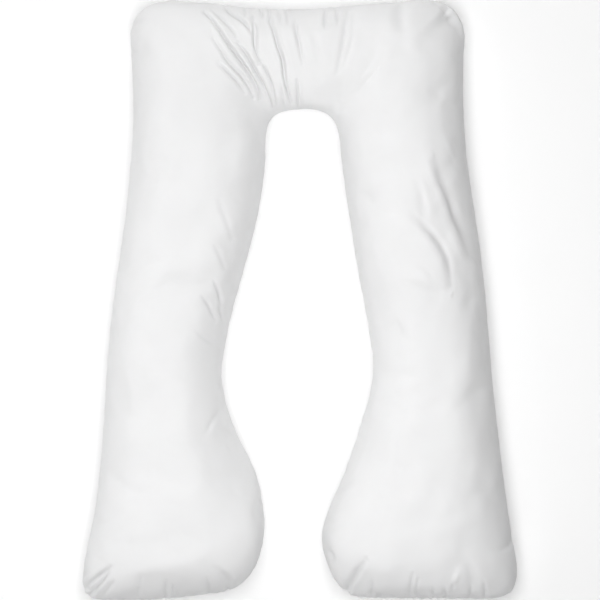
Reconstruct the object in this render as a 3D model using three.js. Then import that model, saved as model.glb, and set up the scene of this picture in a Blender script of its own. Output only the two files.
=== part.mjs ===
import * as THREE from "three";
import { mergeVertices } from "three/addons/utils/BufferGeometryUtils.js";

// A U-shaped body pillow: two white cotton panels sewn together round their edge and stuffed.
// It lies on its back. Millimetres: +Y runs from the feet to the head bar, +X to the right as it is
// seen from above, and +Z up from the bed. The origin is on the bed under the middle of the pillow.

// Height of the edge seam over the bed.
const seamHeight = 88;
// Share of the half width over which the stuffed underside lies flat on the bed.
const contactShare = 0.5;
// Length over which the face and the underside swell from the seam across the end of a foot.
const faceEndRun = 115;
const undersideEndRun = 95;
// How far the seam across the end of the left foot bows out in its middle.
const leftEndBow = 7;
// Strips across the tube, from the outer seam to the inner one.
const stripsAcross = 16;

// Cuts across the stuffed tube, from the end of the left foot round the bar to the end of the right
// foot: where the seam lies at each side, how far the face rises over the seam, how full its section
// is towards the outer and the inner side (2 is an ellipse, and more is flatter on top), and the
// number of steps in which the cloth runs on to the next cut.
const cuts = [
  { name: "left end", outer: [-480, -725], inner: [-186, -706], crown: 122, full: [2.4, 3.0], steps: 2 },
  { name: "left toe", outer: [-513, -715], inner: [-148, -689], crown: 122, full: [2.4, 3.2], steps: 3 },
  { name: "left ball", outer: [-525, -682], inner: [-107, -643], crown: 123, full: [2.4, 3.5], steps: 4 },
  { name: "left foot", outer: [-511, -583], inner: [-87, -560], crown: 124, full: [2.3, 3.6], steps: 3 },
  { name: "left instep", outer: [-496, -508], inner: [-91, -494], crown: 124, full: [2.3, 2.8], steps: 3 },
  { name: "left heel", outer: [-486, -430], inner: [-109, -418], crown: 120, full: [2.3, 2.0], steps: 4 },
  { name: "left ankle", outer: [-477, -320], inner: [-159, -310], crown: 115, full: [2.3, 2.0], steps: 4 },
  { name: "left calf", outer: [-469, -200], inner: [-189, -198], crown: 110, full: [2.2, 2.2], steps: 4 },
  { name: "left knee", outer: [-460, -80], inner: [-176, -80], crown: 110, full: [2.2, 2.4], steps: 5 },
  { name: "left thigh", outer: [-442, 60], inner: [-141, 56], crown: 112, full: [2.3, 2.6], steps: 5 },
  { name: "left hip", outer: [-421, 215], inner: [-103, 205], crown: 112, full: [2.3, 2.5], steps: 5 },
  { name: "left waist", outer: [-408, 350], inner: [-85, 322], crown: 112, full: [2.3, 2.3], steps: 4 },
  { name: "left chest", outer: [-403, 470], inner: [-83, 390], crown: 112, full: [2.3, 2.2], steps: 4 },
  { name: "left shoulder", outer: [-407, 590], inner: [-77, 423], crown: 112, full: [2.2, 2.3], steps: 3 },
  { name: "left corner low", outer: [-409, 653], inner: [-69, 438], crown: 109, full: [2.2, 2.2], steps: 3 },
  { name: "left corner top", outer: [-381, 702], inner: [-60, 446], crown: 105, full: [2.2, 2.1], steps: 3 },
  { name: "left corner end", outer: [-325, 722], inner: [-51, 451], crown: 101, full: [2.3, 2.1], steps: 4 },
  { name: "left bar end", outer: [-220, 716], inner: [-39, 456], crown: 96, full: [2.3, 3.2], steps: 11 },
  { name: "left bar", outer: [-110, 705], inner: [-20, 460], crown: 93, full: [2.4, 6.5], steps: 11 },
  { name: "bar middle", outer: [0, 703], inner: [4, 462], crown: 92, full: [2.4, 8.0], steps: 8 },
  { name: "right bar", outer: [105, 710], inner: [29, 461], crown: 93, full: [2.4, 7.5], steps: 6 },
  { name: "right bar end", outer: [215, 718], inner: [51, 456], crown: 96, full: [2.2, 5.5], steps: 5 },
  { name: "right corner end", outer: [318, 725], inner: [67, 448], crown: 100, full: [2.0, 3.6], steps: 4 },
  { name: "right corner top", outer: [369, 706], inner: [78, 438], crown: 104, full: [2.0, 2.8], steps: 4 },
  { name: "right corner low", outer: [397, 655], inner: [87, 424], crown: 108, full: [2.0, 2.5], steps: 3 },
  { name: "right shoulder", outer: [395, 570], inner: [95, 396], crown: 112, full: [2.0, 2.3], steps: 4 },
  { name: "right chest", outer: [395, 470], inner: [100, 352], crown: 112, full: [2.0, 2.3], steps: 4 },
  { name: "right waist", outer: [403, 350], inner: [106, 303], crown: 112, full: [2.2, 2.3], steps: 5 },
  { name: "right hip", outer: [422, 215], inner: [120, 205], crown: 112, full: [2.2, 2.4], steps: 5 },
  { name: "right thigh", outer: [443, 60], inner: [144, 56], crown: 112, full: [2.3, 2.5], steps: 5 },
  { name: "right knee", outer: [456, -80], inner: [168, -80], crown: 110, full: [2.2, 2.4], steps: 4 },
  { name: "right calf", outer: [466, -200], inner: [176, -190], crown: 110, full: [2.2, 2.4], steps: 4 },
  { name: "right ankle", outer: [479, -320], inner: [144, -312], crown: 115, full: [2.2, 2.3], steps: 4 },
  { name: "right heel", outer: [492, -430], inner: [106, -422], crown: 120, full: [2.2, 2.3], steps: 3 },
  { name: "right instep", outer: [503, -508], inner: [71, -504], crown: 124, full: [2.3, 2.5], steps: 3 },
  { name: "right foot", outer: [514, -583], inner: [53, -572], crown: 124, full: [2.3, 2.6], steps: 4 },
  { name: "right ball", outer: [525, -662], inner: [71, -646], crown: 123, full: [2.3, 2.7], steps: 3 },
  { name: "right toe", outer: [509, -707], inner: [102, -697], crown: 122, full: [2.3, 2.6], steps: 2 },
  { name: "right end", outer: [468, -723], inner: [146, -721], crown: 122, full: [2.3, 2.5], steps: 0 },
];

// How far the crown lies from the middle of the tube at some cuts, as a share of the half width: to
// the inner side where it is above 0, and to the outer side where it is below.
const crownLeans = [
  { cut: "left foot", lean: 0 },
  { cut: "left heel", lean: 0.25 },
  { cut: "left calf", lean: 0.2 },
  { cut: "left thigh", lean: 0 },
  { cut: "left waist", lean: -0.25 },
  { cut: "left chest", lean: -0.25 },
  { cut: "left corner top", lean: 0 },
  { cut: "right corner top", lean: 0 },
  { cut: "right waist", lean: -0.25 },
  { cut: "right knee", lean: -0.18 },
  { cut: "right heel", lean: -0.3 },
  { cut: "right foot", lean: 0 },
];

// The main folds of the face, each a soft trough along a bent line from one end to the other.
const folds = [
  { name: "long bar crease", from: [-234, 705], by: [-150, 592], to: [-96, 495], width: 8, depth: 5 },
  { name: "second bar crease", from: [-156, 611], by: [-110, 578], to: [-69, 478], width: 8, depth: 5 },
  { name: "high bar crease", from: [-181, 705], by: [-142, 682], to: [-120, 652], width: 8, depth: 3 },
  { name: "low bar crease", from: [-186, 592], by: [-142, 556], to: [-110, 507], width: 8, depth: 3 },
  { name: "upright bar crease", from: [-108, 676], by: [-104, 610], to: [-75, 545], width: 9, depth: 5 },
  { name: "middle bar crease", from: [-65, 672], by: [-34, 590], to: [-21, 480], width: 8, depth: 6 },
  { name: "slight bar crease", from: [-9, 660], by: [2, 620], to: [5, 575], width: 9, depth: 3 },
  { name: "right bar crease", from: [122, 700], by: [120, 620], to: [86, 545], width: 15, depth: 4 },
  { name: "cross dent", from: [-310, 42], by: [-258, 48], to: [-200, 52], width: 12, depth: 8 },
  { name: "thigh crease", from: [-202, 38], by: [-192, 0], to: [-174, -38], width: 9, depth: 5 },
  { name: "ankle hollow", from: [-176, -258], by: [-146, -345], to: [-142, -446], width: 27, depth: 13 },
  { name: "right corner fall", from: [345, 714], by: [382, 698], to: [390, 640], width: 52, depth: 30 },
  { name: "outer long fold", from: [342, 312], by: [372, 215], to: [420, 96], width: 19, depth: 9 },
  { name: "inner long fold", from: [292, 186], by: [358, 142], to: [374, 26], width: 17, depth: 10 },
  { name: "left corner tuck", from: [-522, -706], by: [-494, -676], to: [-465, -650], width: 12, depth: 10 },
  { name: "left end tuck", from: [-502, -720], by: [-486, -700], to: [-468, -684], width: 9, depth: 6 },
  { name: "right corner tuck", from: [116, -705], by: [134, -668], to: [154, -636], width: 13, depth: 11 },
  { name: "right end tuck", from: [408, -723], by: [404, -690], to: [410, -650], width: 18, depth: 8 },
];
const foldSteps = 10;
// A fold fades towards both its ends, up to this share of its length from them.
const foldTip = 0.04;
// A fold also fades where the face comes nearer to the seam's height than this.
const foldRise = 25;
// Points nearer to each other than this are one point.
const weldDistance = 0.001;

// Curves through the named points of all the cuts.
const curveOf = (points) => new THREE.CatmullRomCurve3(points, false, "centripetal");
const outerEdge = curveOf(cuts.map(({ outer }) => new THREE.Vector3(...outer, 0)));
const innerEdge = curveOf(cuts.map(({ inner }) => new THREE.Vector3(...inner, 0)));
const crownLine = curveOf(cuts.map(({ crown }, i) => new THREE.Vector3(i, crown, 0)));
const fullnessLine = curveOf(cuts.map(({ full }, i) => new THREE.Vector3(...full, i)));
const leanLine = curveOf(cuts.map((cut, i) => new THREE.Vector3(i, leanAt(i), 0)));

// The crown's lean at a cut, eased between the cuts that the table names.
function leanAt(i) {
  const places = crownLeans.map(({ cut }) => cuts.findIndex(({ name }) => name === cut));
  const next = places.findIndex((place) => place > i);
  if (next === 0) return crownLeans[0].lean;
  if (next < 0) return crownLeans[crownLeans.length - 1].lean;
  const share = THREE.MathUtils.smoothstep(i, places[next - 1], places[next]);
  return THREE.MathUtils.lerp(crownLeans[next - 1].lean, crownLeans[next].lean, share);
}

// Places along those curves, with each cut's own number of steps to the next.
function stationPlaces() {
  const places = [0];
  cuts.forEach(({ steps }, i) => {
    for (let k = 1; k <= steps; k += 1) places.push((i + k / steps) / (cuts.length - 1));
  });
  return places;
}

// Rises from 0 at the seam to 1 at the given run from it, as a quarter of an ellipse.
function swell(distance, run) {
  const left = 1 - Math.min(distance / run, 1);
  return Math.sqrt(1 - left * left);
}

// Each station's two seam points, the shape of its section and its distance from the nearer foot's
// end.
function stations() {
  const made = stationPlaces().map((t) => ({
    outer: outerEdge.getPoint(t),
    inner: innerEdge.getPoint(t),
    crown: crownLine.getPoint(t).y,
    fullness: fullnessLine.getPoint(t),
    lean: leanLine.getPoint(t).y,
    bow: t === 0 ? leftEndBow : 0,
  }));
  made.forEach((station) => {
    station.middle = station.outer.clone().lerp(station.inner, 0.5);
  });
  const ends = [made[0].middle, made[made.length - 1].middle];
  made.forEach((station) => {
    station.fromEnd = Math.min(...ends.map((end) => end.distanceTo(station.middle)));
  });
  return made;
}

// A point of the face (side 1) or of the underside (side -1), at angle 0 to pi across the tube.
function skinPoint({ outer, inner, crown, fullness, lean, bow, fromEnd }, angle, side) {
  const across = -Math.cos(angle);
  const point = outer.clone().lerp(inner, (across + 1) / 2);
  point.y -= bow * (1 - across * across);
  if (side > 0) {
    const outside = across < lean;
    const fromCrown = Math.min((across - lean) / (outside ? -1 - lean : 1 - lean), 1);
    const power = outside ? fullness.x : fullness.y;
    const profile = (1 - fromCrown ** power) ** (1 / power);
    point.z = seamHeight + crown * swell(fromEnd, faceEndRun) * profile;
  } else {
    const edge = (1 - Math.abs(across)) / (1 - contactShare);
    point.z = seamHeight * (1 - swell(fromEnd, undersideEndRun) * swell(edge, 1));
  }
  return point;
}

// The closed skin of the pillow, before it is folded.
function smoothSkin() {
  const made = stations();
  const positions = [];
  const triangles = [];
  const row = stripsAcross + 1;
  for (const side of [1, -1]) {
    const first = positions.length / 3;
    for (const station of made) {
      for (let j = 0; j < row; j += 1) {
        positions.push(...skinPoint(station, (Math.PI * j) / stripsAcross, side).toArray());
      }
    }
    for (let i = 0; i + 1 < made.length; i += 1) {
      for (let j = 0; j < stripsAcross; j += 1) {
        const a = first + i * row + j;
        const b = a + 1;
        const c = a + row;
        const d = c + 1;
        if (side > 0) triangles.push(a, b, d, a, d, c);
        else triangles.push(a, d, b, a, c, d);
      }
    }
  }
  const skin = new THREE.BufferGeometry();
  skin.setAttribute("position", new THREE.Float32BufferAttribute(positions, 3));
  skin.setIndex(triangles);
  return mergeVertices(skin, weldDistance);
}

// How deep all the folds together press in the face at a place seen from above.
function foldDepth(place, lines) {
  let depth = 0;
  for (const { fold, points } of lines) {
    let nearest = Infinity;
    let along = 0;
    for (let k = 0; k < foldSteps; k += 1) {
      const piece = points[k + 1].clone().sub(points[k]);
      const offset = place.clone().sub(points[k]);
      const share = THREE.MathUtils.clamp(offset.dot(piece) / piece.lengthSq(), 0, 1);
      const gap = offset.distanceTo(piece.multiplyScalar(share));
      if (gap < nearest) {
        nearest = gap;
        along = (k + share) / foldSteps;
      }
    }
    const taper = Math.sqrt(Math.sin(Math.PI * THREE.MathUtils.clamp(along, foldTip, 1 - foldTip)));
    depth += fold.depth * taper * Math.exp(-((nearest / fold.width) ** 2));
  }
  return depth;
}

// Presses the folds into the face, square to it. The seam and the underside stay as they are.
function pressFolds(skin) {
  skin.computeVertexNormals();
  const { position, normal } = skin.attributes;
  const lines = folds.map((fold) => ({
    fold,
    points: new THREE.QuadraticBezierCurve(
      new THREE.Vector2(...fold.from),
      new THREE.Vector2(...fold.by),
      new THREE.Vector2(...fold.to),
    ).getPoints(foldSteps),
  }));
  const point = new THREE.Vector3();
  const out = new THREE.Vector3();
  for (let i = 0; i < position.count; i += 1) {
    point.fromBufferAttribute(position, i);
    const rise = Math.min((point.z - seamHeight) / foldRise, 1);
    if (rise <= 0) continue;
    out.fromBufferAttribute(normal, i);
    point.addScaledVector(out, -rise * foldDepth(new THREE.Vector2(point.x, point.y), lines));
    position.setXYZ(i, point.x, point.y, point.z);
  }
  skin.computeVertexNormals();
  return skin;
}

const whiteCotton = new THREE.MeshStandardMaterial({ color: 0xf4f4f4, roughness: 0.7, metalness: 0 });

const pillow = new THREE.Mesh(pressFolds(smoothSkin()), whiteCotton);
pillow.name = "pillow";

const bodyPillow = new THREE.Group();
bodyPillow.add(pillow);

export default bodyPillow;
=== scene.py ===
import math
import random

import bmesh
import bpy
import numpy as np
from mathutils import Matrix, Vector, kdtree, noise


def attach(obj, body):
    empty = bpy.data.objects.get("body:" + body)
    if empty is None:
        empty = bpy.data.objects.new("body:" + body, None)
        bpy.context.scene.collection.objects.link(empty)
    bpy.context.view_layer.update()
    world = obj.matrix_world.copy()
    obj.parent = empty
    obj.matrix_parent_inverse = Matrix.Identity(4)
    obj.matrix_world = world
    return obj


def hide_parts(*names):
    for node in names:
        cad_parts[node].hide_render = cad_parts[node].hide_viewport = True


# A white cotton body pillow, U-shaped, lying on its back and seen from straight above.
# Metres, in the frame's own axes: +Y from the feet to the head bar, +Z up from the floor.

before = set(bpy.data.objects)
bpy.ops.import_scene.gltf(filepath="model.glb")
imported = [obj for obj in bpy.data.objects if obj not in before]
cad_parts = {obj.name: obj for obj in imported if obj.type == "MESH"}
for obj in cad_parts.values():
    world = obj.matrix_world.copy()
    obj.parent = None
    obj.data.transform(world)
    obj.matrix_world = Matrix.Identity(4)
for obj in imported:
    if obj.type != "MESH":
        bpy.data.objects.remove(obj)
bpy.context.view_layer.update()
random.seed(7)

# The photograph: 600 pixels square, the size of one of them at the seam, the pixel over the origin,
# and the long lens that stands for its camera, with the camera's height over the seam.
PICTURE = 600
PIXEL = 0.0024187
MIDDLE = (300.0, 299.8)
LENS = 135
SENSOR = 36
CAMERA_HEIGHT = PICTURE * PIXEL * LENS / SENSOR

# The solid's skin: how near two points count as one, the seam's height and how near to it the seam is
# found, how low the cloth lies on the floor, and how far from square the quads may be, pass after pass
WELD = 0.00001
SEAM_HEIGHT = 0.088
SEAM_FINDING = 0.004
REST_HEIGHT = 0.0004
SQUARENESS = (0.35, 0.7, 1.2, math.pi)

# Stuffing: the filling's pressure, how much cloth there is to spare, how many frames it takes, and the
# most that the cloth swells
STUFFING_PRESSURE = 3.0
CLOTH_TO_SPARE = 0.012
STUFFING_FRAMES = 24
SWELL_CAP = 0.007

# The sewn edge: the strip on both sides of it, how far the thread pulls it in, and how far the cloth
# rounds out beside it.
EDGE_STRIP = 0.0035
DITCH_WIDTH = 0.0022
DITCH_DEPTH = 0.0017
ROLL_PLACE = 0.009
ROLL_WIDTH = 0.006
ROLL_HEIGHT = 0.0011

# Stitches of the sewn edge: how far apart, long and thick they are, how far they lean up, and how far
# they stand out from the ditch, as a share of their radius
STITCH_PITCH = 0.0048
STITCH_LENGTH = 0.0034
THREAD_RADIUS = 0.0004
STITCH_LEAN = (0.08, 0.22)
STITCH_LIFT = 0.6

# Creases of the face, each through places in the photograph's pixels. In millimetres: how wide the
# trough is to the left and right of its middle, how deep it is, and how high the cloth bulges on the left
# and on the right. A depth below 0 makes a ridge. Left and right are those of a line drawn downwards. Of
# a line drawn from left to right, the left side is the lower one.
MILLIMETRES = 1000
CREASES = [
    ("long bar crease",
     [(204, 12), (211, 18), (219, 29), (229, 44), (240, 60), (250, 74), (257, 87), (260, 99)],
     4.4, 3.6, 7.4, 2.6, 2.8),
    ("second bar crease", [(237, 42), (245, 52), (250, 60), (258, 75), (266, 90), (272, 106)],
     4.4, 3.6, 7.2, 1.8, 2.4),
    ("upper bar crease", [(211, 8), (223, 20), (232, 30), (237, 41)], 5.0, 4.0, 5.0, 1.2, 1.2),
    ("high bar crease", [(225, 7), (231, 13), (241, 20), (248, 27), (251, 33)], 4.6, 3.8, 6.0, 1.2, 1.4),
    ("low bar crease", [(213, 38), (221, 50), (227, 60), (234, 68), (241, 75), (249, 86), (254, 97)],
     4.8, 4.0, 5.8, 1.4, 1.4),
    ("lowest bar crease", [(218, 63), (224, 68), (231, 75), (238, 82), (245, 92)], 5.0, 4.0, 5.2, 1.2, 1.0),
    ("upright bar crease", [(254, 18), (255, 30), (256, 44), (258, 55), (260, 64)], 5.6, 4.4, 7.4, 1.6, 2.0),
    ("upright bar end", [(260, 60), (265, 69), (269, 78), (273, 90), (276, 104)], 4.4, 3.6, 6.6, 1.2, 1.2),
    ("middle bar crease", [(271, 18), (274, 30), (278, 45), (283, 60), (285, 75), (287, 88), (291, 102)],
     4.4, 3.6, 7.8, 1.6, 2.4),
    ("arch shoulder", [(230, 90), (238, 104), (242, 120), (242, 146), (239, 176)],
     24.0, 30.0, -4.5, 0.0, 0.0),
    ("arch crease", [(297, 80), (298, 106)], 4.0, 3.4, 5.2, 0.8, 1.2),
    ("faint arch crease", [(281, 84), (284, 106)], 4.4, 4.0, 3.0, 0.6, 0.8),
    ("faint bar crease", [(295, 22), (297, 34), (300, 46), (303, 63)], 5.0, 4.4, 4.4, 1.2, 0.8),
    ("right bar crease", [(348, 9), (345, 30), (342, 50), (337, 73)], 6.0, 5.0, 3.0, 0.8, 0.8),
    ("right bar twin", [(353, 14), (352, 38), (347, 56), (341, 70)], 6.0, 5.0, 2.0, 0.5, 0.7),
    ("faint right crease", [(312, 30), (316, 46), (318, 60)], 8.0, 8.0, 2.0, 0.8, 0.8),
    ("bar edge tuck a", [(245, 8), (245, 18)], 4.2, 3.8, 4.0, 0.7, 0.7),
    ("bar edge tuck b", [(260, 8), (263, 17)], 4.2, 3.8, 4.4, 0.7, 0.7),
    ("bar edge tuck c", [(269, 9), (271, 24)], 4.2, 3.8, 4.2, 0.7, 0.7),
    ("bar edge tuck d", [(279, 9), (280, 23)], 4.2, 3.8, 3.2, 0.5, 0.5),
    ("bar edge tuck e", [(286, 9), (288, 24)], 4.2, 3.8, 3.4, 0.5, 0.5),
    ("bar edge tuck f", [(325, 8), (325, 28)], 4.6, 4.2, 3.8, 0.5, 0.7),
    ("bar edge tuck g", [(336, 8), (338, 24)], 4.8, 4.4, 3.6, 0.5, 0.7),
    ("corner dent", [(399, 3), (400, 14), (402, 34)], 16.0, 14.0, 5.4, 0.6, 0.6),
    ("corner tuck", [(449, 8), (443, 16)], 5.0, 5.0, 3.0, 0.6, 0.6),
    ("outer long crease",
     [(436, 162), (441, 178), (446, 190), (452, 206), (457, 222), (464, 238), (471, 254)],
     9.0, 12.0, 4.4, 5.6, 0.2),
    ("inner long crease",
     [(415, 216), (424, 224), (431, 232), (439, 242), (445, 252), (449, 262), (452, 286)],
     10.0, 7.0, 4.6, 4.8, 0.6),
    ("faint thigh crease", [(418, 183), (423, 203), (424, 218)], 10.0, 8.0, 2.8, 0.8, 1.4),
    ("thigh ridge", [(446, 140), (455, 158), (462, 167)], 8.0, 8.0, -2.2, 0.0, 0.0),
    ("knee dent", [(404, 281), (418, 286), (434, 290), (447, 291)], 9.0, 9.0, 2.0, 0.4, 1.0),
    ("small knee crease", [(418, 268), (428, 272), (433, 281)], 6.0, 6.0, 1.4, 0.4, 0.6),
    ("cross dent", [(218, 282), (203, 284), (190, 284), (178, 283), (164, 284)], 12.0, 32.0, 5.8, 0.4, 0.2),
    ("inner cross crease", [(215, 281), (217, 287), (220, 296), (222, 306)], 5.2, 4.6, 4.4, 0.8, 1.0),
    ("inner low crease", [(203, 297), (208, 304), (212, 312), (216, 320)], 5.4, 4.6, 4.2, 0.8, 1.0),
    ("inner lower crease", [(220, 306), (222, 314), (224, 322)], 5.0, 4.4, 3.2, 0.6, 0.8),
    ("inner high crease", [(215, 246), (220, 256), (225, 268)], 6.0, 5.4, 2.6, 0.5, 0.7),
    ("inner hip crease", [(219, 200), (223, 212), (227, 222), (231, 238)], 6.6, 6.0, 2.6, 0.5, 0.8),
    ("shin crease", [(195, 331), (203, 338), (213, 344)], 6.0, 5.0, 2.8, 0.5, 0.7),
    ("ankle crease", [(219, 411), (213, 420), (206, 433)], 7.0, 6.0, 2.6, 0.5, 0.8),
    ("left corner tuck", [(109, 567), (101, 574), (94, 580), (87, 586)], 5.4, 6.0, 8.0, 1.8, 0.2),
    ("left corner deep tuck", [(107, 574), (101, 582), (96, 588), (91, 594)], 8.0, 4.6, 10.4, 0.2, 4.4),
    ("left corner twin", [(114, 582), (109, 588), (104, 594)], 5.0, 4.6, 3.4, 0.6, 0.8),
    ("left corner notch", [(86, 584), (90, 590), (95, 595)], 4.6, 4.6, 2.6, 0.5, 0.5),
    ("left end roll", [(122, 573), (138, 571), (160, 569), (182, 565), (204, 561)],
     20.0, 24.0, -4.6, 0.0, 0.0),
    ("right end roll", [(370, 570), (386, 572), (402, 572)], 18.0, 22.0, -3.4, 0.0, 0.0),
    ("left end tuck a", [(166, 580), (165, 597)], 5.0, 4.4, 3.4, 0.8, 0.8),
    ("left end tuck b", [(172, 584), (173, 596)], 4.6, 4.0, 2.4, 0.6, 0.6),
    ("left end tuck c", [(207, 578), (209, 594)], 6.0, 5.0, 3.4, 0.6, 0.9),
    ("left end tuck d", [(141, 576), (138, 597)], 7.0, 6.0, 2.6, 0.6, 0.8),
    ("left end hollow", [(219, 570), (226, 577), (228, 584)], 12.0, 8.0, 5.4, 0.4, 2.6),
    ("left end ridge", [(236, 574), (235, 580), (231, 586)], 5.0, 5.0, -2.4, 0.0, 0.0),
    ("right corner tuck", [(366, 561), (360, 569), (355, 577), (351, 584), (348, 591)],
     9.0, 5.4, 8.6, 0.8, 3.4),
    ("right corner small", [(330, 550), (332, 554), (333, 558)], 6.0, 5.4, 4.4, 0.6, 0.8),
    ("right end tuck a", [(372, 578), (372, 597)], 5.0, 4.6, 2.6, 0.6, 0.6),
    ("right end tuck b", [(413, 574), (411, 588), (410, 598)], 5.6, 4.6, 3.6, 0.6, 0.8),
    ("right end tuck c", [(418, 580), (416, 590), (417, 598)], 4.6, 4.2, 3.0, 0.5, 0.6),
    ("right end ridge", [(459, 572), (455, 580), (450, 591)], 7.0, 6.0, -3.2, 0.0, 0.0),
    ("right end tuck d", [(453, 583), (452, 590)], 4.6, 4.2, 4.0, 0.4, 0.8),
    ("right end notch", [(444, 588), (446, 598)], 4.4, 4.2, 3.6, 0.6, 0.8),
    ("right end twin notch", [(433, 589), (434, 598)], 4.4, 4.2, 3.0, 0.6, 0.6),
    ("right end hollow", [(466, 562), (471, 573), (473, 586)], 13.0, 15.0, 4.6, 0.8, 0.8),
    ("right end tuck e", [(471, 586), (470, 598)], 5.0, 4.4, 2.8, 0.5, 0.5),
    ("right end tuck f", [(484, 582), (486, 597)], 5.6, 4.6, 3.2, 0.8, 0.8),
    ("right side tuck", [(510, 541), (506, 547), (499, 552)], 8.0, 7.0, 2.2, 0.4, 1.0),
    ("right instep crease", [(358, 480), (346, 490), (335, 500)], 9.0, 9.0, 1.8, 0.5, 0.5),
    ("inner right dent", [(394, 318), (399, 328), (400, 339)], 9.0, 9.0, 2.2, 0.6, 0.6),
]
# Across a crease, in its own widths: how far it works, where the bulge beside it is, and how wide that
# is. It fades towards its ends, but not over the last share of its length, its tip. Creases also run over
# the seam, down to this far under it.
CREASE_REACH = 5
BULGE_PLACE = 2.1
BULGE_WIDTH = 1.3
CREASE_TIP = 0.04
OVER_THE_SEAM = 0.012

# At the bottom of a narrow fold, where cloth lies on cloth, shade is painted into the colour: by this share
# in one as deep as wide, and across this part of a crease's width.
FOLD_SHADE_SHARE = 0.28
FOLD_SHADE_WIDTH = 0.95

# Finer cloth beside the creases: steps longer than this share of a crease's width are halved, up to
# these distances from its middle in turn, also as shares of the width.
FINEST_STEP = 0.62
FINER_CLOTH = (2.6, 2.0, 1.6)

# Gathers along the sewn edge: within a box in X and Y, how far apart they are, how deep, and how far
# they reach over the cloth. The last line holds for the rest of the edge.
GATHERS = [
    ("left foot end", (-0.60, -0.80, -0.15, -0.665), 0.022, 0.0056, 0.060),
    ("right foot end", (0.10, -0.80, 0.60, -0.665), 0.022, 0.0056, 0.060),
    ("left foot round", (-0.15, -0.72, -0.05, -0.42), 0.034, 0.0030, 0.050),
    ("right foot round", (0.00, -0.72, 0.12, -0.42), 0.034, 0.0030, 0.050),
    ("arch", (-0.10, 0.38, 0.12, 0.50), 0.024, 0.0016, 0.030),
    ("head bar", (-0.26, 0.66, 0.26, 0.80), 0.036, 0.0028, 0.044),
    ("top corners", (-0.45, 0.60, 0.45, 0.80), 0.032, 0.0036, 0.054),
    ("inner sides", (-0.20, -0.42, 0.20, 0.40), 0.048, 0.0026, 0.044),
    ("outer sides", (-9.0, -9.0, 9.0, 9.0), 0.060, 0.0024, 0.046),
]
# How far each gather strays from that: its depth, its reach, its slant, its width as a share of the
# distance between gathers, and the step to the next one
GATHER_SINK = (0.45, 1.3)
GATHER_REACH = (0.65, 1.3)
GATHER_SLANT = (-0.4, 0.4)
GATHER_WIDTH = (0.16, 0.24)
GATHER_STEP = (0.6, 1.45)
# A gather starts this far from the thread, rises over this distance from its least share to the whole,
# opens by this share and fades by this power to its inner end.
GATHER_START = 0.003
GATHER_RISE = 0.022
GATHER_LEAST = 0.08
GATHER_OPENING = 0.7
GATHER_FADE = 1.5
# The cloth beside a gather is full: by this share of its depth, at this place and width in its widths.
FULL_SHARE = 0.45
FULL_PLACE = 2.0
FULL_WIDTH = 1.1
# No gather goes further than this over the cloth, or than this over the seam to the other panel.
GATHER_LIMIT = 0.09
GATHER_OVERLAP = 0.0015

# Soft unevenness of the filling: the length of its waves, their height, and where each kind of wave is
# taken from the noise. It fades out over this distance to the sewn edge, and this height to the floor.
LUMPS = [
    (0.210, 0.0048, (0.0, 1.7, 0.0)),
    (0.090, 0.0042, (3.1, 1.7, 5.3)),
    (0.042, 0.0024, (6.2, 1.7, 10.6)),
    (0.021, 0.0006, (9.3, 1.7, 15.9)),
]
LUMP_FADE = 0.05
LIFT_OFF = 0.02


def add_object(name, data):
    """An object with this mesh, lamp or lens, in the scene."""
    item = bpy.data.objects.new(name, data)
    bpy.context.scene.collection.objects.link(item)
    return item


def mesh_of(bm, name):
    """The finished shape as a mesh."""
    mesh = bpy.data.meshes.new(name)
    bm.to_mesh(mesh)
    bm.free()
    return mesh


def shade_smooth(mesh):
    """Shades the mesh as one round skin."""
    for polygon in mesh.polygons:
        polygon.use_smooth = True


def skin_of(node_name):
    """The solid's skin as a piece of its own: merged, and back in quads, with its seam marked."""
    bm = bmesh.new()
    bm.from_mesh(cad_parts[node_name].data)
    bmesh.ops.remove_doubles(bm, verts=bm.verts, dist=WELD)
    sharpness = bm.edges.layers.float.new("crease_edge")
    for edge in bm.edges:
        if all(abs(point.co.z - SEAM_HEIGHT) < SEAM_FINDING for point in edge.verts):
            edge.seam = True
            edge[sharpness] = 1.0
    for squareness in SQUARENESS:
        loose = [face for face in bm.faces if len(face.verts) == 3]
        bmesh.ops.join_triangles(
            bm, faces=loose, cmp_seam=True,
            angle_face_threshold=math.pi, angle_shape_threshold=squareness,
        )
    return add_object("cotton_cover", mesh_of(bm, "cotton_cover"))


def panels_of(bm):
    """The cloth on either side of the seam: the face's panel and the underside's."""
    left = set(bm.faces)
    panels = []
    while left:
        front = [left.pop()]
        panel = []
        while front:
            face = front.pop()
            panel.append(face)
            for edge in face.edges:
                if not edge.seam:
                    for other in edge.link_faces:
                        if other in left:
                            left.discard(other)
                            front.append(other)
        panels.append(panel)
    return panels


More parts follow.
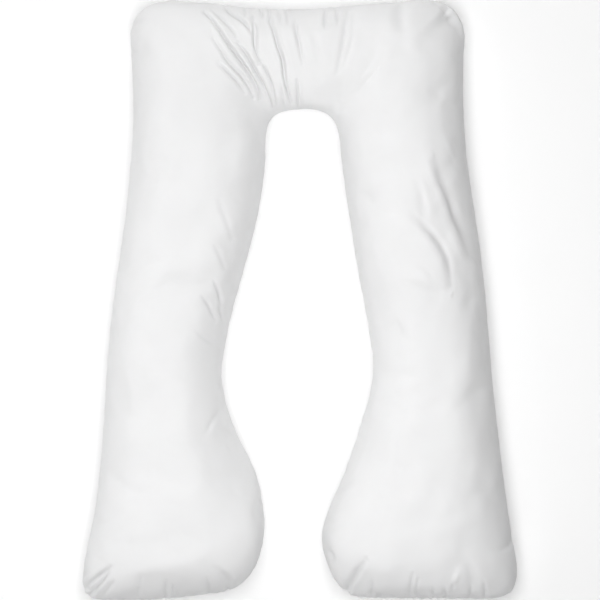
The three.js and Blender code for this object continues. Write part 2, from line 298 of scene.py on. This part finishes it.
def lay_panels_flat(piece):
    """Lays both panels out as they were cut, in metres and square to the grain, for the weave."""
    bpy.context.view_layer.objects.active = piece
    piece.select_set(True)
    bpy.ops.object.mode_set(mode="EDIT")
    bpy.ops.mesh.select_all(action="SELECT")
    bpy.ops.uv.unwrap(method="ANGLE_BASED", margin=0.0)
    bpy.ops.object.mode_set(mode="OBJECT")
    piece.select_set(False)
    piece.data.uv_layers.active.name = "panel_cut"
    bm = bmesh.new()
    bm.from_mesh(piece.data)
    cut = bm.loops.layers.uv["panel_cut"]
    for panel in panels_of(bm):
        loops = [loop for face in panel for loop in face.loops]
        flat = np.array([complex(*loop[cut].uv) for loop in loops])
        place = np.array([complex(loop.vert.co.x, loop.vert.co.y) for loop in loops])
        if sum(face.normal.z * face.calc_area() for face in panel) < 0:
            flat = flat.conj()
        ahead = np.array([complex(*loop.link_loop_next[cut].uv) for loop in loops])
        behind = np.array([complex(*loop[cut].uv) for loop in loops])
        scale = sum(loop.edge.calc_length() for loop in loops) / np.abs(ahead - behind).sum()
        flat -= flat.mean()
        turn = (flat.conj() * (place - place.mean())).sum()
        laid = place.mean() + flat * scale * turn / abs(turn)
        for loop, spot in zip(loops, laid):
            loop[cut].uv = (spot.real, spot.imag)
    bm.to_mesh(piece.data)
    bm.free()


def apply_modifiers(piece):
    """Makes the piece's modifiers part of its mesh."""
    bpy.context.view_layer.update()
    depsgraph = bpy.context.evaluated_depsgraph_get()
    finished = bpy.data.meshes.new_from_object(piece.evaluated_get(depsgraph))
    piece.modifiers.clear()
    piece.data = finished


def subdivide(piece):
    """Rounds the skin off once, with the seam kept as a line."""
    surface = piece.modifiers.new("rounding", "SUBSURF")
    surface.levels = 1
    surface.render_levels = 1
    apply_modifiers(piece)


def points_of(mesh):
    """The mesh's points as rows of X, Y and Z."""
    points = np.empty(len(mesh.vertices) * 3)
    mesh.vertices.foreach_get("co", points)
    return points.reshape(-1, 3)


def normals_of(mesh):
    """The mesh's outward directions at its points."""
    normals = np.empty(len(mesh.vertices) * 3)
    mesh.vertices.foreach_get("normal", normals)
    return normals.reshape(-1, 3)


def move_points(mesh, points):
    """Puts the mesh's points in these places, none under the floor."""
    points[:, 2] = np.maximum(points[:, 2], 0.0)
    mesh.vertices.foreach_set("co", points.ravel())
    mesh.update()


def seam_order(mesh):
    """The seam's points in order round the pillow, as numbers of the mesh's points."""
    beside = {}
    for edge in mesh.edges:
        if edge.use_seam:
            a, b = edge.vertices
            beside.setdefault(a, []).append(b)
            beside.setdefault(b, []).append(a)
    order = [min(beside)]
    last = None
    while True:
        here = order[-1]
        ahead = [point for point in beside[here] if point != last]
        if ahead[0] == order[0]:
            return order
        last = here
        order.append(ahead[0])


def stuff(piece):
    """Fills the cover: its two panels swell out from the sewn edge, and the underside stays put."""
    mesh = piece.data
    before = points_of(mesh)
    held = piece.vertex_groups.new(name="held")
    on_floor = [int(i) for i in np.nonzero(before[:, 2] < REST_HEIGHT)[0]]
    held.add(on_floor, 1.0, "REPLACE")
    held.add(seam_order(mesh), 1.0, "REPLACE")
    cloth = piece.modifiers.new("stuffing", "CLOTH")
    cotton = cloth.settings
    cotton.quality = 6
    cotton.mass = 0.2
    cotton.tension_stiffness = 20
    cotton.compression_stiffness = 20
    cotton.shear_stiffness = 8
    cotton.bending_stiffness = 0.6
    cotton.air_damping = 3
    cotton.use_pressure = True
    cotton.uniform_pressure_force = STUFFING_PRESSURE
    cotton.shrink_min = -CLOTH_TO_SPARE
    cotton.vertex_group_mass = "held"
    cotton.effector_weights.gravity = 0
    cloth.collision_settings.use_self_collision = False
    cloth.collision_settings.use_collision = False
    scene = bpy.context.scene
    for step in range(1, STUFFING_FRAMES + 1):
        scene.frame_set(step)
    apply_modifiers(piece)
    scene.frame_set(1)
    piece.vertex_groups.clear()
    moved = points_of(piece.data) - before
    reach = np.linalg.norm(moved, axis=1)
    capped = SWELL_CAP * np.tanh(reach / SWELL_CAP)
    moved *= (capped / np.maximum(reach, WELD))[:, None]
    move_points(piece.data, before + moved)


def refine(piece):
    """Halves the mesh's longer steps beside the creases of the face."""
    bm = bmesh.new()
    bm.from_mesh(piece.data)
    for widths in FINER_CLOTH:
        edges = [edge for edge in bm.edges if min(point.co.z for point in edge.verts) > SEAM_HEIGHT]
        seen = as_seen(np.array([(edge.verts[0].co + edge.verts[1].co) / 2 for edge in edges]))
        length = np.array([edge.calc_length() for edge in edges])
        chosen = set()
        for _name, pixels, left_width, right_width, *_heights in CREASES:
            width = (left_width + right_width) / 2 / MILLIMETRES
            near, away, _along = across_crease(seen, pixels, widths * width)
            beside = (np.abs(away) < widths * width) & (length[near] > FINEST_STEP * width)
            chosen.update(near[beside].tolist())
        bmesh.ops.subdivide_edges(
            bm, edges=[edges[number] for number in sorted(chosen)], cuts=1, use_grid_fill=True
        )
    bm.to_mesh(piece.data)
    bm.free()


def widen_edge(piece):
    """Gives the sewn edge a narrow strip of its own on both sides, for the thread to pull in."""
    bm = bmesh.new()
    bm.from_mesh(piece.data)
    sewn = [edge for edge in bm.edges if edge.seam]
    bmesh.ops.bevel(
        bm, geom=sewn, offset=EDGE_STRIP, offset_type="OFFSET", affect="EDGES",
        segments=4, profile=0.5, material=-1, clamp_overlap=True,
    )
    bm.to_mesh(piece.data)
    bm.free()


def steps_of(line):
    """The steps of a closed line: where each leads, how long it is, and how far along it starts."""
    ahead = np.roll(line, -1, axis=0) - line
    length = np.linalg.norm(ahead, axis=1)
    return ahead, length, np.concatenate([[0], np.cumsum(length)[:-1]])


def nearest_of(places, spots):
    """For each spot, the number of the place that is nearest to it."""
    tree = kdtree.KDTree(len(places))
    for number, place in enumerate(places):
        tree.insert(place, number)
    tree.balance()
    return np.array([tree.find(spot)[1] for spot in spots])


def from_seam(points, seam):
    """Each point's distance from the closed seam line, its place along it, and the line's length."""
    ahead, length, start = steps_of(seam)
    nearest = nearest_of(seam, points)
    gap = np.full(len(points), np.inf)
    along = np.zeros(len(points))
    for first in (nearest, (nearest - 1) % len(seam)):
        offset = points - seam[first]
        share = np.clip((offset * ahead[first]).sum(1) / length[first] ** 2, 0, 1)
        away = np.linalg.norm(offset - share[:, None] * ahead[first], axis=1)
        closer = away < gap
        gap[closer] = away[closer]
        along[closer] = (start[first] + share * length[first])[closer]
    return gap, along, length.sum()


def smooth_line(corners, steps=14):
    """A soft line through the corners, as rows of X and Y."""
    corners = np.array(corners, float)
    padded = np.vstack([2 * corners[0] - corners[1], corners, 2 * corners[-1] - corners[-2]])
    line = []
    for k in range(1, len(padded) - 2):
        a, b, c, d = padded[k - 1 : k + 3]
        for t in np.linspace(0, 1, steps, endpoint=False):
            bend = (2 * a - 5 * b + 4 * c - d) * t**2 + (3 * b - a - 3 * c + d) * t**3
            line.append(0.5 * (2 * b + (c - a) * t + bend))
    line.append(corners[-1])
    return np.array(line)


def hump(distance, width):
    """A soft hump, 1 at its middle."""
    return np.exp(-((distance / width) ** 2))


def as_seen(points):
    """Where the camera sees the points of the face, as X and Y at the height of the seam."""
    nearer = (points[:, 2] - SEAM_HEIGHT) / CAMERA_HEIGHT
    return points[:, :2] / (1 - nearer)[:, None]


def across_crease(seen, pixels, reach):
    """The points within reach of a crease, how far right of it each lies, and its place along it."""
    line = smooth_line([((x - MIDDLE[0]) * PIXEL, (MIDDLE[1] - y) * PIXEL) for x, y in pixels])
    start, run = line[:-1], np.diff(line, axis=0)
    low, high = line.min(0) - reach, line.max(0) + reach
    near = np.nonzero(((seen > low) & (seen < high)).all(1))[0]
    offset = seen[near][:, None, :] - start[None]
    share = np.clip((offset * run).sum(2) / (run**2).sum(1), 0, 1)
    gap = np.linalg.norm(offset - share[..., None] * run, axis=2)
    best = gap.argmin(1)
    rows = np.arange(len(near))
    side = np.sign(run[best, 0] * offset[rows, best, 1] - run[best, 1] * offset[rows, best, 0])
    return near, gap[rows, best] * side, (best + share[rows, best]) / len(run)


def paint_fold_shade(painted_fold_shade, where, sink, width, closeness):
    """Paints shade into the cloth's colour at the bottom of a fold, the more so the steeper its sides are.
    """
    painted_fold_shade[where] = np.maximum(painted_fold_shade[where], FOLD_SHADE_SHARE * sink / width * closeness)


def crease_depth(points, painted_fold_shade):
    """How deep the creases press in the face, which also bulges beside each."""
    depth = np.zeros(len(points))
    face = np.nonzero(points[:, 2] > SEAM_HEIGHT - OVER_THE_SEAM)[0]
    seen = as_seen(points[face])
    for _name, pixels, *sizes in CREASES:
        left_width, right_width, sink, left_bulge, right_bulge = (size / MILLIMETRES for size in sizes)
        near, away, along = across_crease(seen, pixels, CREASE_REACH * max(left_width, right_width))
        width = np.where(away > 0, right_width, left_width)
        bulge = np.where(away > 0, right_bulge, left_bulge)
        beside = hump(np.abs(away) - BULGE_PLACE * width, BULGE_WIDTH * width)
        fade = np.sqrt(np.sin(np.pi * np.clip(along, CREASE_TIP, 1 - CREASE_TIP)))
        depth[face[near]] += fade * (sink * hump(away, width) - bulge * beside)
        # painted shade at the bottom of the crease, for the cloth's colour
        closeness = fade * hump(away, FOLD_SHADE_WIDTH * width)
        paint_fold_shade(painted_fold_shade, face[near], sink, left_width + right_width, closeness)
    return depth


def gather_depth(points, gap, along, seam, seam_length, painted_fold_shade):
    """How deep the gathers along the sewn edge press in each panel, with the cloth full between."""
    depth = np.zeros(len(points))
    _ahead, _length, start = steps_of(seam)
    for side in (1, -1):
        on_side = side * (points[:, 2] - SEAM_HEIGHT) > -GATHER_OVERLAP
        panel = np.nonzero((gap < GATHER_LIMIT) & on_side)[0]
        place = 0.0
        while place < seam_length:
            x, y = seam[min(np.searchsorted(start, place), len(seam) - 1), :2]
            _name, _box, spacing, sink, reach = next(
                zone for zone in GATHERS if zone[1][0] < x < zone[1][2] and zone[1][1] < y < zone[1][3]
            )
            sink *= random.uniform(*GATHER_SINK)
            reach *= random.uniform(*GATHER_REACH)
            slant = random.uniform(*GATHER_SLANT)
            width = spacing * random.uniform(*GATHER_WIDTH)
            inward = np.clip(gap[panel] / reach, 0, 1)
            sideways = (along[panel] - place - slant * gap[panel] + seam_length / 2) % seam_length
            sideways -= seam_length / 2
            width = width * (1 + GATHER_OPENING * inward)
            rise = np.clip((gap[panel] - GATHER_START) / GATHER_RISE, GATHER_LEAST, 1)
            fade = (1 - inward) ** GATHER_FADE * rise
            trough = hump(sideways, width)
            fullness = hump(np.abs(sideways) - FULL_PLACE * width, FULL_WIDTH * width)
            depth[panel] += sink * fade * (trough - FULL_SHARE * fullness)
            # painted shade at the bottom of the gather, for the cloth's colour
            paint_fold_shade(painted_fold_shade, panel, sink, sum(GATHER_WIDTH) * spacing, fade * trough)
            place += spacing * random.uniform(*GATHER_STEP)
    return depth


def lump_depth(points, gap):
    """The filling's soft unevenness, which dies out at the sewn edge and on the floor."""
    free = np.clip(gap / LUMP_FADE, 0, 1) * np.clip(points[:, 2] / LIFT_OFF, 0, 1)
    depth = np.zeros(len(points))
    for wave, height, shift in LUMPS:
        depth += height * np.array([noise.noise(Vector(spot) / wave + Vector(shift)) for spot in points])
    return depth * free


def work_cloth(piece):
    """Presses the creases, gathers, lumps and the sewn edge's ditch, paints shade into their folds, and
    gives the ditch's line.
    """
    seam = points_of(piece.data)[seam_order(piece.data)]
    widen_edge(piece)
    points, normals = points_of(piece.data), normals_of(piece.data)
    gap, along, seam_length = from_seam(points, seam)
    painted_fold_shade = np.zeros(len(points))
    depth = crease_depth(points, painted_fold_shade)
    depth += gather_depth(points, gap, along, seam, seam_length, painted_fold_shade)
    depth += lump_depth(points, gap)
    depth += DITCH_DEPTH * hump(gap, DITCH_WIDTH) - ROLL_HEIGHT * hump(gap - ROLL_PLACE, ROLL_WIDTH)
    move_points(piece.data, points - normals * depth[:, None])
    # the painted fold shade, kept on the points, darkens the cloth's colour
    piece.data.attributes.new("painted_fold_shade", "FLOAT", "POINT").data.foreach_set("value", painted_fold_shade)
    middle = nearest_of(points, seam)
    return points_of(piece.data)[middle], normals[middle]


def make_cover():
    """The stuffed cotton cover, which stands for the whole solid, and the line of its stitches."""
    piece = skin_of("pillow")
    lay_panels_flat(piece)
    subdivide(piece)
    stuff(piece)
    subdivide(piece)
    refine(piece)
    line, outward = work_cloth(piece)
    shade_smooth(piece.data)
    return piece, line, outward


def make_thread(line, outward):
    """The thread that joins the panels: short stitches one after the other in the seam's ditch."""
    bm = bmesh.new()
    bmesh.ops.create_uvsphere(bm, u_segments=6, v_segments=4, radius=1.0)
    bmesh.ops.scale(bm, verts=bm.verts, vec=(THREAD_RADIUS, THREAD_RADIUS, STITCH_LENGTH / 2))
    stitch = mesh_of(bm, "stitch")
    ahead, length, start = steps_of(line)
    whole = start[-1] + length[-1]
    count = int(whole / STITCH_PITCH)
    bm = bmesh.new()
    for number in range(count):
        place = whole * number / count
        k = np.searchsorted(start, place, side="right") - 1
        spot = Vector(line[k] + ahead[k] * (place - start[k]) / length[k])
        spot += Vector(outward[k]) * THREAD_RADIUS * STITCH_LIFT
        lean = Vector((0, 0, random.uniform(*STITCH_LEAN)))
        turn = (Vector(ahead[k]).normalized() + lean).to_track_quat("Z", "Y")
        pose = Matrix.Translation(spot) @ turn.to_matrix().to_4x4()
        stitch.transform(pose)
        bm.from_mesh(stitch)
        stitch.transform(pose.inverted())
    mesh = mesh_of(bm, "seam_thread")
    bpy.data.meshes.remove(stitch)
    shade_smooth(mesh)
    return add_object("seam_thread", mesh)


class Finish:
    """A material's nodes, with a short way to add and join them."""

    def __init__(self, name):
        self.material = bpy.data.materials.new(name)
        self.material.use_nodes = True
        self.tree = self.material.node_tree
        self.shader = self.tree.nodes["Principled BSDF"]

    def join(self, source, socket):
        """Sets a socket from another node's socket, or from a value."""
        if isinstance(source, bpy.types.NodeSocket):
            self.tree.links.new(source, socket)
        else:
            socket.default_value = source

    def reckon(self, operation, first, second=0.0):
        """The result of a Math node."""
        node = self.tree.nodes.new("ShaderNodeMath")
        node.operation = operation
        self.join(first, node.inputs[0])
        self.join(second, node.inputs[1])
        return node.outputs[0]

    def fleck(self, place, scale, detail=2.0):
        """The height of a Noise texture."""
        node = self.tree.nodes.new("ShaderNodeTexNoise")
        self.join(place, node.inputs["Vector"])
        node.inputs["Scale"].default_value = scale
        node.inputs["Detail"].default_value = detail
        return node.outputs[0]

    def stretch(self, place, scale):
        """The place with each axis scaled by its own number."""
        node = self.tree.nodes.new("ShaderNodeMapping")
        self.join(place, node.inputs["Vector"])
        node.inputs["Scale"].default_value = scale
        return node.outputs[0]

    def spread(self, value, low, high):
        """A value from 0 to 1 laid out between two others."""
        node = self.tree.nodes.new("ShaderNodeMapRange")
        self.join(value, node.inputs["Value"])
        node.inputs["To Min"].default_value = low
        node.inputs["To Max"].default_value = high
        return node.outputs[0]

    def relief(self, height, distance, under=None):
        """A Bump node of this height in metres, on top of another relief."""
        node = self.tree.nodes.new("ShaderNodeBump")
        self.join(height, node.inputs["Height"])
        node.inputs["Distance"].default_value = distance
        if under is not None:
            self.join(under, node.inputs["Normal"])
        return node.outputs[0]

    def tint(self, value, first, second):
        """A colour between two others: the first at 0, the second at 1."""
        node = self.tree.nodes.new("ShaderNodeMix")
        node.data_type = "RGBA"
        self.join(value, node.inputs[0])
        self.join(first, node.inputs[6])
        self.join(second, node.inputs[7])
        return node.outputs[2]


# White cotton: the distance between its threads, how fine the slubs are across a thread and along it,
# how fine the rumples and the patches of tone are, how much the patches count beside the slubs, how high
# weave, slubs and rumples stand, its two shades, the colour of the painted shade at the bottom of a fold,
# and its smoothest and roughest places
THREAD_PITCH = 0.00045
SLUBS_ACROSS = 1400
SLUBS_ALONG = 22
RUMPLES = 24.0
PATCHES = 7.0
PATCH_SHARE = 0.6
WEAVE_HEIGHT = 0.00007
SLUB_HEIGHT = 0.00010
RUMPLE_HEIGHT = 0.0010
COTTON_SHADES = ((0.845, 0.845, 0.848, 1), (0.900, 0.900, 0.902, 1))
FOLD_SHADE_COLOUR = (0.30, 0.30, 0.31, 1)
COTTON_ROUGHNESS = (0.70, 0.88)

# White thread: how fine its fuzz is and how high, its two shades, and its roughness
FUZZ = 2600.0
FUZZ_HEIGHT = 0.00012
THREAD_SHADES = ((0.80, 0.80, 0.80, 1), (0.90, 0.90, 0.89, 1))
THREAD_ROUGHNESS = (0.50, 0.70)


def white_cotton():
    """Fine plain-weave cotton: white, softly rumpled, faintly shiny, with shade painted into its colour in
    narrow folds.
    """
    finish = Finish("white_cotton")
    cut = finish.tree.nodes.new("ShaderNodeUVMap")
    cut.uv_map = "panel_cut"
    grain = cut.outputs[0]
    place = finish.tree.nodes.new("ShaderNodeTexCoord").outputs["Object"]

    axes = finish.tree.nodes.new("ShaderNodeSeparateXYZ")
    finish.join(grain, axes.inputs[0])
    warp = finish.reckon("SINE", finish.reckon("MULTIPLY", axes.outputs[0], math.pi / THREAD_PITCH))
    weft = finish.reckon("SINE", finish.reckon("MULTIPLY", axes.outputs[1], math.pi / THREAD_PITCH))
    crossing = finish.reckon("ABSOLUTE", finish.reckon("MULTIPLY", warp, weft))
    weave = finish.reckon("POWER", crossing, 0.5)

    warp_slubs = finish.fleck(finish.stretch(grain, (SLUBS_ACROSS, SLUBS_ALONG, 1)), 1.0)
    weft_slubs = finish.fleck(finish.stretch(grain, (SLUBS_ALONG, SLUBS_ACROSS, 1)), 1.0)
    slubs = finish.reckon("MULTIPLY", finish.reckon("ADD", warp_slubs, weft_slubs), 0.5)
    rumple = finish.fleck(place, RUMPLES, 3.0)
    tone = finish.fleck(place, PATCHES)

    relief = finish.relief(rumple, RUMPLE_HEIGHT)
    relief = finish.relief(slubs, SLUB_HEIGHT, relief)
    relief = finish.relief(weave, WEAVE_HEIGHT, relief)
    finish.join(relief, finish.shader.inputs["Normal"])

    patches = finish.reckon("MULTIPLY", tone, PATCH_SHARE)
    mottle = finish.reckon("ADD", patches, finish.reckon("MULTIPLY", slubs, 1 - PATCH_SHARE))
    colour = finish.tint(mottle, *COTTON_SHADES)
    # painted shade: the cotton's colour darkens toward this grey at the bottom of narrow folds
    fold_shade = finish.tree.nodes.new("ShaderNodeAttribute")
    fold_shade.attribute_name = "painted_fold_shade"
    colour = finish.tint(fold_shade.outputs["Fac"], colour, FOLD_SHADE_COLOUR)
    finish.join(colour, finish.shader.inputs["Base Color"])
    finish.join(finish.spread(slubs, *COTTON_ROUGHNESS), finish.shader.inputs["Roughness"])
    finish.shader.inputs["Specular IOR Level"].default_value = 0.3
    finish.shader.inputs["Sheen Weight"].default_value = 0.22
    finish.shader.inputs["Sheen Roughness"].default_value = 0.45
    return finish.material


def white_thread():
    """White sewing thread: slightly fuzzy, and a little shinier than the cloth."""
    finish = Finish("white_thread")
    place = finish.tree.nodes.new("ShaderNodeTexCoord").outputs["Object"]
    fuzz = finish.fleck(place, FUZZ)
    finish.join(finish.relief(fuzz, FUZZ_HEIGHT), finish.shader.inputs["Normal"])
    finish.join(finish.tint(fuzz, *THREAD_SHADES), finish.shader.inputs["Base Color"])
    finish.join(finish.spread(fuzz, *THREAD_ROUGHNESS), finish.shader.inputs["Roughness"])
    finish.shader.inputs["Sheen Weight"].default_value = 0.1
    return finish.material


# Soft lights of the studio: place, diameter and power
LAMPS = [
    ("overhead_light", (0.0, 0.0, 3.4), 2.0, 76),
    ("left_light", (-3.2, 0.0, 1.0), 1.8, 22),
    ("head_light", (0.0, 3.4, 1.0), 1.8, 28),
    ("high_left_light", (-2.6, 0.0, 2.4), 2.0, 9),
    ("high_head_light", (0.0, 2.8, 2.4), 2.0, 13),
    ("high_right_light", (2.6, 0.0, 2.4), 2.0, 4),
    ("high_foot_light", (0.0, -2.8, 2.4), 2.0, 24),
]
DAYLIGHT = 0.01
WHITE = (1, 1, 1, 1)

# The floor: half its width, how far it lies under the pillow, its colour, and how much it glows
FLOOR_SIZE = 8
FLOOR_DROP = 0.0005
FLOOR_COLOUR = (0.92, 0.92, 0.92, 1)
FLOOR_GLOW = 0.14


def make_floor():
    """A plain floor, nearly white, that also glows a little, as a lit backdrop does."""
    bm = bmesh.new()
    bmesh.ops.create_grid(bm, x_segments=1, y_segments=1, size=FLOOR_SIZE)
    bmesh.ops.translate(bm, verts=bm.verts, vec=(0, 0, -FLOOR_DROP))
    floor = add_object("floor", mesh_of(bm, "floor"))
    finish = Finish("pale_floor")
    finish.shader.inputs["Base Color"].default_value = FLOOR_COLOUR
    finish.shader.inputs["Roughness"].default_value = 0.9
    finish.shader.inputs["Emission Color"].default_value = WHITE
    finish.shader.inputs["Emission Strength"].default_value = FLOOR_GLOW
    floor.data.materials.append(finish.material)


def make_lights():
    """The studio's soft lights and its even daylight."""
    for name, place, size, power in LAMPS:
        lamp = bpy.data.lights.new(name, "AREA")
        lamp.shape = "DISK"
        lamp.size = size
        lamp.energy = power
        holder = add_object(name, lamp)
        holder.location = place
        holder.rotation_euler = (-Vector(place)).to_track_quat("-Z", "Y").to_euler()
        holder.visible_camera = False
    world = bpy.data.worlds.new("soft_daylight")
    world.use_nodes = True
    world.node_tree.nodes["Background"].inputs["Color"].default_value = WHITE
    world.node_tree.nodes["Background"].inputs["Strength"].default_value = DAYLIGHT
    bpy.context.scene.world = world
    bpy.context.scene.view_settings.view_transform = "Standard"


def make_camera():
    """A long lens straight above, with the photograph's frame at the height of the seam."""
    lens = bpy.data.cameras.new("camera")
    lens.lens = LENS
    lens.sensor_width = SENSOR
    camera = add_object("camera", lens)
    across = (PICTURE / 2 - MIDDLE[0]) * PIXEL
    along = (MIDDLE[1] - PICTURE / 2) * PIXEL
    camera.location = (across, along, SEAM_HEIGHT + CAMERA_HEIGHT)
    bpy.context.scene.camera = camera


cover, stitch_line, stitch_outward = make_cover()
cover.data.materials.clear()
cover.data.materials.append(white_cotton())
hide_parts("pillow")
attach(cover, "root")

thread = make_thread(stitch_line, stitch_outward)
thread.data.materials.append(white_thread())
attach(thread, "root")

make_floor()
make_lights()
make_camera()
